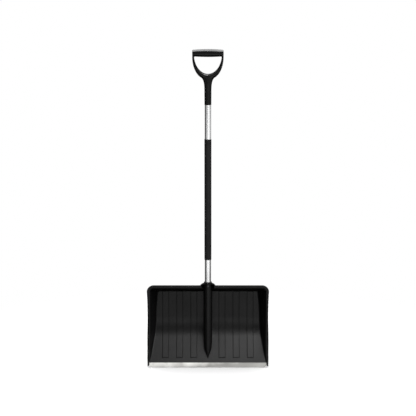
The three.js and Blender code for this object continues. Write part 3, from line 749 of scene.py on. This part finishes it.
# ---------------------------------------------------------------- shaft pieces

def build_tube(name, outer, inner, bottom, top, edge):
    bevel = 0.15
    profile = [(inner + bevel, bottom), (outer - edge, bottom)]
    profile += arc((outer - edge, bottom + edge), edge, -70, 0, 4)
    profile += arc((outer - edge, top - edge), edge, 0, 90, 5)
    profile += [(inner + bevel, top), (inner, top - bevel), (inner, bottom + bevel)]
    return lathe(name, profile, 128)


def build_screw(name, seat, side, height):
    """Pan-head screw along Y with a cross recess; seat is how far from the shaft axis its head starts."""
    head, brim = SCREW_HEAD_RADIUS, SCREW_HEAD_HEIGHT * 0.35
    top, point = seat + SCREW_HEAD_HEIGHT, seat - SCREW_LENGTH
    shank, head_round, point_length, crest, slot = SCREW_SHANK_RADIUS, 1.6, 3, 0.2, 0.5
    profile = [(0, point), (1.2, point), (shank, point + point_length)]
    for i in range(THREAD_TURNS):
        up = point + point_length + i * THREAD_PITCH
        profile += [(shank, up + crest), (shank - THREAD_DEPTH, up + THREAD_PITCH / 2),
                    (shank, up + THREAD_PITCH - crest)]
    profile += [(shank, seat), (head, seat), (head, seat + brim)]
    profile += [(head - head_round + head_round * math.cos(a),
                 seat + brim + (SCREW_HEAD_HEIGHT - brim) * math.sin(a))
                for a in spread(math.radians(15), math.pi / 2, 6)] + [(0, top)]
    screw = lathe(name, profile, 40)
    for wide, high in ((shank, slot), (slot, shank)):
        cut(screw, block("recess", (-wide, -high, top - 1.5), (wide, high, top + 1)))
    for vertex in screw.data.vertices:
        x, y, z = vertex.co.x / MM, vertex.co.y / MM - SHAFT_Y, vertex.co.z / MM
        vertex.co = Vector((x * MM, (side * z + SHAFT_Y) * MM, (height + y) * MM))
    face_outwards(screw)
    smooth(screw, 35)
    return screw


# ---------------------------------------------------------------- hand grip

def bar_ring(x, inset):
    """Section of the bar at x: widest at the crease, full above it, flatter below, bowed in the middle."""
    across = min(abs(x) / GRIP_HALF_WIDTH, 1.0)
    top = GRIP_TOP - BAR_BOW_TOP * across ** 2 - inset
    bottom = BAR_BOTTOM + BAR_BOW_BOTTOM * across ** 2 + inset
    half = BAR_HALF_DEPTH - 1.2 * across ** 2 - inset
    ring = []
    for c, s in circle(72):
        reach, power = (top - BAR_CREASE, 0.8) if s > 0 else (BAR_CREASE - bottom, 1.25)
        ring.append((x, half * rounded_power(c, power), BAR_CREASE + reach * rounded_power(s, power)))
    return ring


def build_bar(name):
    """The whole bar with rounded ends, before it is parted into frame and cap."""
    straight_end = GRIP_HALF_WIDTH - BAR_END_ROUND
    end = [bar_ring(-straight_end - BAR_END_ROUND * math.cos(a), BAR_END_ROUND * (1 - math.sin(a)))
           for a in spread(0.0, math.pi / 2, 5)]
    rings = end + [bar_ring(x, 0.0) for x in spread(-straight_end, straight_end, 40)[1:-1]]
    return loft(name, rings + [[(-x, y, z) for x, y, z in ring] for ring in reversed(end)])


def above_cap_line(name, shift):
    """Everything above the seam between frame and cap, which is bowed like the bar."""
    seam = [(x, CAP_LINE + shift - CAP_BOW * (x / GRIP_HALF_WIDTH) ** 2) for x in spread(-80.0, 80.0, 40)]
    outline = seam + [(80.0, GRIP_TOP + 30), (-80.0, GRIP_TOP + 30)]
    return loft(name, [[(x, y, z) for x, z in outline] for y in (-40, 40)])


def grip_outlines(count):
    """Right-hand half of the hand opening and of the loop's outer line, from the bar to the middle."""
    inner = bezier((60.8, 1408), (60.5, 1355), (30, 1323.5), (0, 1323.5), count)
    outer = bezier((68.8, 1408), (71.3, 1346), (45.8, 1299.5), (0, 1297), count)
    return inner, outer


def build_loop():
    """The U below the bar: an oval section between the two outlines, deepest in the middle."""
    steps = 36
    half_rings = []
    for i, ((ix, iz), (ox, oz)) in enumerate(zip(*grip_outlines(steps))):
        t = i / steps
        depth = ARM_HALF_DEPTH + 2.0 * (1 - ease(t * 6)) + 3.0 * ease((t - 0.45) / 0.5)
        power = 0.85 + 0.15 * ease(t * 1.4)
        ring = []
        for c, s in circle(40):
            across = rounded_power(c, power)
            ring.append(((ix + ox) / 2 + (ox - ix) / 2 * across, depth * rounded_power(s, 0.9),
                         (iz + oz) / 2 + (oz - iz) / 2 * across))
        half_rings.append(ring)
    mirrored = [[(-x, y, z) for x, y, z in ring] for ring in half_rings[:-1]]
    return loft("loop", mirrored + list(reversed(half_rings)))


def build_yoke():
    """The solid middle that carries the loop on the socket, widening and getting flatter upwards."""
    steps = 24
    side_line = bezier((15.4, YOKE_BOTTOM), (15.6, 1282), (17.4, 1297), (33, 1310), steps)
    rings = []
    for t, (half_x, z) in zip(spread(0.0, 1.0, steps), side_line):
        half_y = YOKE_HALF_DEPTH + 0.6 * ease(t * 4) - 2.6 * ease((t - 0.3) * 1.35)
        power = 1.0 - 0.15 * t
        rings.append([(half_x * rounded_power(c, power), half_y * rounded_power(s, power), z)
                      for c, s in circle(64)])
    return loft("yoke", rings)


def build_grip():
    """Frame and cap of the hand grip."""
    edge, bore, seat = 0.9, TUBE_RADIUS + FIT_GAP, GRIP_SOCKET_RADIUS + 0.4
    frame_piece = build_bar("grip_body")
    cut(frame_piece, above_cap_line("cap_room", 0.0))
    join(frame_piece, build_loop(), build_yoke())
    cut(frame_piece, above_cap_line("cap_room", 0.0))
    join(frame_piece, lathe("grip_socket", [
        (0, GRIP_SOCKET_BOTTOM), (GRIP_SOCKET_RADIUS - edge, GRIP_SOCKET_BOTTOM)] +
        arc((GRIP_SOCKET_RADIUS - edge, GRIP_SOCKET_BOTTOM + edge), edge, -60, 0, 3) +
        [(GRIP_SOCKET_RADIUS + 0.4, 1244), (14.0, 1270), (10.0, 1276), (0, 1277)]))
    join(frame_piece, cross_rod("boss", 6.8, 0, GRIP_SCREW_HEIGHT, 0, GRIP_SOCKET_RADIUS + 2.2, 48))
    rounded(frame_piece, 0.62, 11)
    crotch, bar_ends = (0.0, 1302.0, 42.0, 20.0), [(x, 1400.0, 14.0, 12.0) for x in (-66.0, 66.0)]
    melt(frame_piece, [crotch] + bar_ends, 250)
    cut(frame_piece, above_cap_line("seam", -FIT_GAP))
    cut(frame_piece, lathe("grip_bore", [(0, GRIP_SOCKET_BOTTOM - 5), (bore, GRIP_SOCKET_BOTTOM - 5),
                                         (bore, GRIP_SOCKET_TOP), (0, GRIP_SOCKET_TOP)]))
    cut(frame_piece, cross_rod("grip_seat", SCREW_HEAD_RADIUS + 0.5, 0, GRIP_SCREW_HEIGHT, seat, 40),
        cross_rod("grip_hole", SCREW_SHANK_RADIUS + FIT_GAP, 0, GRIP_SCREW_HEIGHT, 4, 40))
    smooth(frame_piece, 50)
    cap = build_bar("grip_cap")
    rounded(cap, 0.6, 5)
    combine(cap, above_cap_line("cap_part", 0.0), "INTERSECT")
    smooth(cap, 50)
    return frame_piece, cap


# ---------------------------------------------------------------- materials

class Finish:
    """A material with a principled shader and short ways to add nodes in front of it."""

    def __init__(self, name, metallic=0.0):
        self.material = bpy.data.materials.new(name)
        self.material.use_nodes = True
        self.nodes = self.material.node_tree.nodes
        self.links = self.material.node_tree.links
        self.shader = self.nodes["Principled BSDF"]
        self.shader.inputs["Metallic"].default_value = metallic
        self.place = self.add("ShaderNodeTexCoord").outputs["Object"]

    def add(self, kind, **settings):
        node = self.nodes.new(kind)
        for key, value in settings.items():
            setattr(node, key, value)
        return node

    def join(self, source, target):
        self.links.new(source, target)

    def stretched(self, scale):
        mapping = self.add("ShaderNodeMapping")
        mapping.inputs["Scale"].default_value = scale
        self.join(self.place, mapping.inputs["Vector"])
        return mapping.outputs["Vector"]

    def noise(self, scale, detail=3.0, stretch=(1, 1, 1), roughness=0.55):
        node = self.add("ShaderNodeTexNoise")
        node.inputs["Scale"].default_value = scale
        node.inputs["Detail"].default_value = detail
        node.inputs["Roughness"].default_value = roughness
        self.join(self.stretched(stretch), node.inputs["Vector"])
        return node.outputs["Fac"]

    def cells(self, scale, stretch=(1, 1, 1)):
        node = self.add("ShaderNodeTexVoronoi")
        node.inputs["Scale"].default_value = scale
        self.join(self.stretched(stretch), node.inputs["Vector"])
        return node.outputs["Distance"]

    def span(self, value, low, high, from_low=0.3, from_high=0.7):
        """Maps a value to a range, without overshoot."""
        node = self.add("ShaderNodeMapRange")
        limits = {"From Min": from_low, "From Max": from_high, "To Min": low, "To Max": high}
        for key, number in limits.items():
            node.inputs[key].default_value = number
        self.join(value, node.inputs["Value"])
        return node.outputs["Result"]

    def math(self, operation, a, b):
        node = self.add("ShaderNodeMath", operation=operation)
        for slot, value in ((0, a), (1, b)):
            if isinstance(value, (int, float)):
                node.inputs[slot].default_value = value
            else:
                self.join(value, node.inputs[slot])
        return node.outputs[0]

    def mixed(self, amount, first, second):
        """A colour between two colours, each a tuple or a socket."""
        node = self.add("ShaderNodeMix", data_type="RGBA")
        self.join(amount, node.inputs[0])
        for slot, value in ((6, first), (7, second)):
            if isinstance(value, tuple):
                node.inputs[slot].default_value = (*value, 1.0)
            else:
                self.join(value, node.inputs[slot])
        return node.outputs[2]

    def edges(self, low=0.52, high=0.62):
        """1 on worn outer edges, 0 elsewhere."""
        geometry = self.add("ShaderNodeNewGeometry")
        return self.span(geometry.outputs["Pointiness"], 0.0, 1.0, low, high)

    def colour(self, value):
        self.join(value, self.shader.inputs["Base Color"])

    def roughness(self, value):
        self.join(value, self.shader.inputs["Roughness"])

    def bump(self, height, depth, strength=1.0, under=None):
        node = self.add("ShaderNodeBump")
        node.inputs["Strength"].default_value = strength
        node.inputs["Distance"].default_value = depth
        self.join(height, node.inputs["Height"])
        if under is not None:
            self.join(under, node.inputs["Normal"])
        self.join(node.outputs["Normal"], self.shader.inputs["Normal"])
        return node.outputs["Normal"]


def grey(value):
    return value, value, value


def moulded_plastic(name, base, light, rough, grain=1.0, gloss=0.35):
    """Satin moulded plastic: fine spark-eroded grain, faint flow marks, slightly polished edges."""
    finish = Finish(name)
    finish.shader.inputs["Specular IOR Level"].default_value = gloss
    flow = finish.noise(9.0, 4.0, (1, 1, 0.4))
    speck = finish.noise(420.0, 2.0)
    worn = finish.math("MULTIPLY", finish.edges(0.53, 0.64), finish.span(finish.noise(38.0, 5.0), 0.1, 0.8))
    tone = finish.mixed(finish.span(flow, 0.0, 1.0), base, light)
    finish.colour(finish.mixed(finish.math("MULTIPLY", worn, 0.5), tone, tuple(2.4 * c for c in light)))
    patches = finish.span(finish.noise(6.0, 3.0), rough - 0.05, rough + 0.05)
    fine = finish.span(speck, -0.04, 0.05)
    finish.roughness(finish.math("ADD", patches, fine))
    waves = finish.bump(finish.noise(14.0, 2.0), 0.0006, 0.10)
    finish.bump(finish.noise(900.0, 2.0, roughness=0.6), 0.00012 * grain, 0.55, waves)
    return finish.material


def brushed_metal(name, base, dark, rough, stretch, streaks, depth, unevenness=0.06, fade=None):
    """Metal drawn or brushed along one direction, with long soft streaks and a few dull patches.

    fade is a painted shade: the darker colour that the metal is painted towards its right end and its lower
    edge."""
    finish = Finish(name, metallic=1.0)
    lines = finish.noise(streaks, 4.0, stretch, 0.65)
    broad = finish.noise(streaks * 0.12, 3.0, stretch)
    patches = finish.noise(16.0, 4.0)
    tone = finish.math("ADD", finish.math("MULTIPLY", lines, 0.5), finish.math("MULTIPLY", broad, 0.5))
    metal = finish.mixed(finish.span(tone, 0.0, 1.0, 0.35, 0.62), dark, base)
    if fade:
        # painted shade: the colour turns towards fade further right and lower down, broken a little by the
        # dull patches
        run = finish.add("ShaderNodeVectorMath", operation="DOT_PRODUCT")
        finish.join(finish.place, run.inputs[0])
        run.inputs[1].default_value = (1.0, 0.0, -15.0)
        along = finish.math("ADD", run.outputs["Value"], finish.span(patches, -0.1, 0.1))
        metal = finish.mixed(finish.span(along, 0.0, 1.0, -0.5, -0.06), metal, fade)
    finish.colour(metal)
    dull = finish.span(patches, rough - unevenness, rough + unevenness)
    finish.roughness(finish.math("ADD", dull, finish.span(lines, -unevenness, unevenness)))
    finish.bump(lines, depth, 0.35)
    return finish.material


def soft_moulding(name, base, light, rough, pimple, relief):
    """Rubber-like moulding with a fine pebbled skin."""
    finish = Finish(name)
    finish.shader.inputs["Specular IOR Level"].default_value = 0.10
    finish.colour(finish.mixed(finish.span(finish.noise(30.0, 5.0), 0.0, 1.0), base, light))
    finish.roughness(finish.span(finish.noise(60.0, 4.0), rough - 0.07, rough + 0.07))
    pebbles = finish.bump(finish.cells(pimple), 0.0002, relief)
    finish.bump(finish.noise(800.0, 2.0), 0.0001, relief, pebbles)
    return finish.material


BLACK, WORN_BLACK = grey(0.0012), grey(0.0024)
# painted shade for the strip and rivets: the darker colour they are painted towards their right end and
# lower edge
STRIP_PAINTED_SHADE = (0.155, 0.155, 0.147)
black_moulding = moulded_plastic("black_moulding", BLACK, WORN_BLACK, 0.38, gloss=0.19)
grip_moulding = moulded_plastic("grip_moulding", BLACK, WORN_BLACK, 0.24, 0.2, 0.15)
core_moulding = moulded_plastic("core_moulding", (0.05, 0.05, 0.052), grey(0.07), 0.5)
sleeve_skin = soft_moulding("sleeve_skin", grey(0.0065), grey(0.010), 0.45, 700.0, 0.4)
cap_skin = soft_moulding("cap_skin", grey(0.15), grey(0.18), 0.7, 500.0, 0.05)
tube_metal = brushed_metal("tube_metal", (0.90, 0.905, 0.91), (0.82, 0.825, 0.83), 0.27,
                           (1, 1, 0.01), 420.0, 0.00001, 0.025)
strip_metal = brushed_metal("strip_metal", (0.52, 0.52, 0.50), (0.42, 0.42, 0.40), 0.46,
                            (0.012, 1, 1), 380.0, 0.00006, fade=STRIP_PAINTED_SHADE)
rivet_metal = brushed_metal("rivet_metal", (0.45, 0.45, 0.43), (0.37, 0.37, 0.35), 0.46,
                            (1, 1, 1), 260.0, 0.00003, fade=STRIP_PAINTED_SHADE)
screw_metal = brushed_metal("screw_metal", (0.07, 0.07, 0.075), (0.03, 0.03, 0.032), 0.38,
                            (1, 1, 1), 300.0, 0.00003)


# ---------------------------------------------------------------- pieces on the frame

def place(piece, material, node):
    """Puts a finished piece where its CAD node stands."""
    piece.name = node + "_look"
    piece.data.materials.clear()
    piece.data.materials.append(material)
    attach(piece, "root")
    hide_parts(node)
    shovel.append(piece)


def keep(node, material):
    """A CAD node that stays as it is and only gets a finish."""
    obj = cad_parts[node]
    obj.data.materials.clear()
    obj.data.materials.append(material)
    shovel.append(obj)


shovel = []
place(build_blade(), black_moulding, "blade")
place(build_wear_edge(), strip_metal, "wear_edge")
for number, rivet_x in enumerate(rivet_places(), 1):
    place(build_rivet_solid("rivet", rivet_x), rivet_metal, f"wear_edge_rivet_{number}")
blade_pieces = list(shovel)

place(build_tube("tube", TUBE_RADIUS, TUBE_RADIUS - TUBE_WALL, tube_low[2], tube_high[2], 0.3),
      tube_metal, "shaft_tube")
sleeve_low, sleeve_high = node_box("grip_sleeve")
sleeve_radius = (sleeve_high[0] - sleeve_low[0]) / 2
place(build_tube("sleeve", sleeve_radius, TUBE_RADIUS + FIT_GAP * 0.4, sleeve_low[2], sleeve_high[2], 1.1),
      sleeve_skin, "grip_sleeve")
place(build_screw("blade_screw", -PAN_FRONT - SCREW_SEAT + FIT_GAP, -1, BLADE_SCREW_HEIGHT),
      screw_metal, "blade_screw")
place(build_screw("grip_screw", GRIP_SOCKET_RADIUS + 0.4 + FIT_GAP, 1, GRIP_SCREW_HEIGHT),
      screw_metal, "d_grip_screw")
grip_frame, grip_cap = build_grip()
place(grip_frame, grip_moulding, "d_grip_frame")
place(grip_cap, cap_skin, "d_grip_cap")
keep("lower_tube_plug", core_moulding)
keep("upper_tube_plug", core_moulding)
upper_pieces = [piece for piece in shovel if piece not in blade_pieces]
key_pieces = [piece for piece in shovel if piece is not grip_frame]


# ---------------------------------------------------------------- floor, light and camera

def build_stage():
    """A round pale floor that fades into the pale background."""
    segments, radius, fade_start, fade_end = 96, 2.4, 0.55, 1.5
    points = [(0.0, 0.0, 0.0)] + [(radius * c, radius * s, 0.0) for c, s in circle(segments)]
    faces = [(0, i + 1, (i + 1) % segments + 1) for i in range(segments)]
    mesh = bpy.data.meshes.new("stage")
    mesh.from_pydata(points, [], faces)
    stage = bpy.data.objects.new("stage", mesh)
    bpy.context.scene.collection.objects.link(stage)
    paint = Finish("stage_paint")
    paint.shader.inputs["Roughness"].default_value = 0.9
    paint.shader.inputs["Specular IOR Level"].default_value = 0.1
    paint.colour(paint.mixed(paint.noise(0.7), (0.90, 0.90, 0.90), (0.92, 0.92, 0.92)))
    distance = paint.add("ShaderNodeVectorMath", operation="LENGTH")
    paint.join(paint.place, distance.inputs[0])
    fade = paint.span(distance.outputs["Value"], 1.0, 0.0, fade_start, fade_end)
    paint.join(fade, paint.shader.inputs["Alpha"])
    mesh.materials.append(paint.material)
    stage.visible_glossy = False
    stage.visible_shadow = False
    return stage


def softbox(name, place_at, aim, size, brightness, lit=()):
    """A rectangular light, unseen by the camera; brightness 1 looks as bright as the background.

    With lit given it only falls on those objects."""
    light = bpy.data.lights.new(name, "AREA")
    light.shape = "RECTANGLE"
    light.size, light.size_y = size
    light.energy = brightness * math.pi * size[0] * size[1]
    lamp = bpy.data.objects.new(name, light)
    lamp.location = place_at
    lamp.rotation_euler = (Vector(aim) - Vector(place_at)).to_track_quat("-Z", "Y").to_euler()
    lamp.visible_camera = False
    bpy.context.scene.collection.objects.link(lamp)
    if lit:
        receivers = bpy.data.collections.new(name + "_lights")
        for obj in lit:
            receivers.objects.link(obj)
        lamp.light_linking.receiver_collection = receivers


def build_world(seen, lighting):
    """A pale background that lights the object much less than it shows."""
    world = bpy.data.worlds.new("studio")
    world.use_nodes = True
    nodes, links = world.node_tree.nodes, world.node_tree.links
    dim = nodes["Background"]
    dim.inputs["Color"].default_value = (1.0, 1.0, 1.0, 1.0)
    dim.inputs["Strength"].default_value = lighting
    pale = nodes.new("ShaderNodeBackground")
    pale.inputs["Color"].default_value = (1.0, 1.0, 1.0, 1.0)
    pale.inputs["Strength"].default_value = seen
    mix = nodes.new("ShaderNodeMixShader")
    links.new(nodes.new("ShaderNodeLightPath").outputs["Is Camera Ray"], mix.inputs[0])
    links.new(dim.outputs[0], mix.inputs[1])
    links.new(pale.outputs[0], mix.inputs[2])
    links.new(mix.outputs[0], nodes["World Output"].inputs["Surface"])
    bpy.context.scene.world = world


def build_camera():
    """Far back, a little above, as the photo was taken; the picture is picture_width metres wide."""
    distance, elevation, picture_width = 5.0, math.radians(9.3), 1.8595
    target = Vector((0.0004, SHAFT_Y * MM, 0.7273))
    data = bpy.data.cameras.new("camera")
    data.sensor_width = 36.0
    data.lens = data.sensor_width * distance / picture_width
    camera = bpy.data.objects.new("camera", data)
    camera.location = target + distance * Vector((0, -math.cos(elevation), math.sin(elevation)))
    camera.rotation_euler = (target - camera.location).to_track_quat("-Z", "Y").to_euler()
    bpy.context.scene.collection.objects.link(camera)
    bpy.context.scene.camera = camera


# each light, in metres: where it stands, where it points, its width and height, brightness, what it lights
stage = build_stage()
build_world(1.0, 0.1)
softbox("overhead", (0.3, 0.2, 3.6), (0.3, 0.2, 0.0), (7.0, 7.0), 1.75)
softbox("key", (1.4, -1.9, 2.9), (0.1, 0.0, 0.1), (3.2, 1.5), 7.5, key_pieces)
softbox("floor_light", (0.0, 0.0, 3.6), (0.0, 0.0, 0.0), (7.0, 7.0), 2.3, [stage])
softbox("front_card", (0.2, -3.4, -0.1), (0.0, 0.0, -0.1), (3.0, 1.8), 1.72)
softbox("front_high", (0.5, -3.4, 1.3), (0.0, 0.0, 1.0), (2.4, 1.0), 1.12, upper_pieces)
softbox("right_front", (3.0, -2.3, 0.3), (0.0, 0.0, 0.3), (3.2, 2.6), 0.9)
softbox("right_side", (3.6, 0.6, 0.7), (0.0, 0.0, 0.7), (2.4, 1.8), 0.6)
softbox("left_front", (-2.6, -2.4, 0.3), (0.0, 0.0, 0.3), (1.8, 2.6), 0.65, upper_pieces)
softbox("grip_card", (0.0, -2.2, 0.3), (0.0, 0.0, 1.4), (0.7, 0.9), 2.8, [grip_frame])
softbox("back_card", (1.6, 3.3, -0.2), (0.0, 0.0, 0.1), (4.4, 2.4), 2.2, blade_pieces)
softbox("top_spark", (0.2, -0.6, 2.85), (0.0, 0.0, 1.32), (0.55, 0.4), 85.0, [grip_frame])
bpy.context.scene.view_settings.view_transform = "Standard"
build_camera()
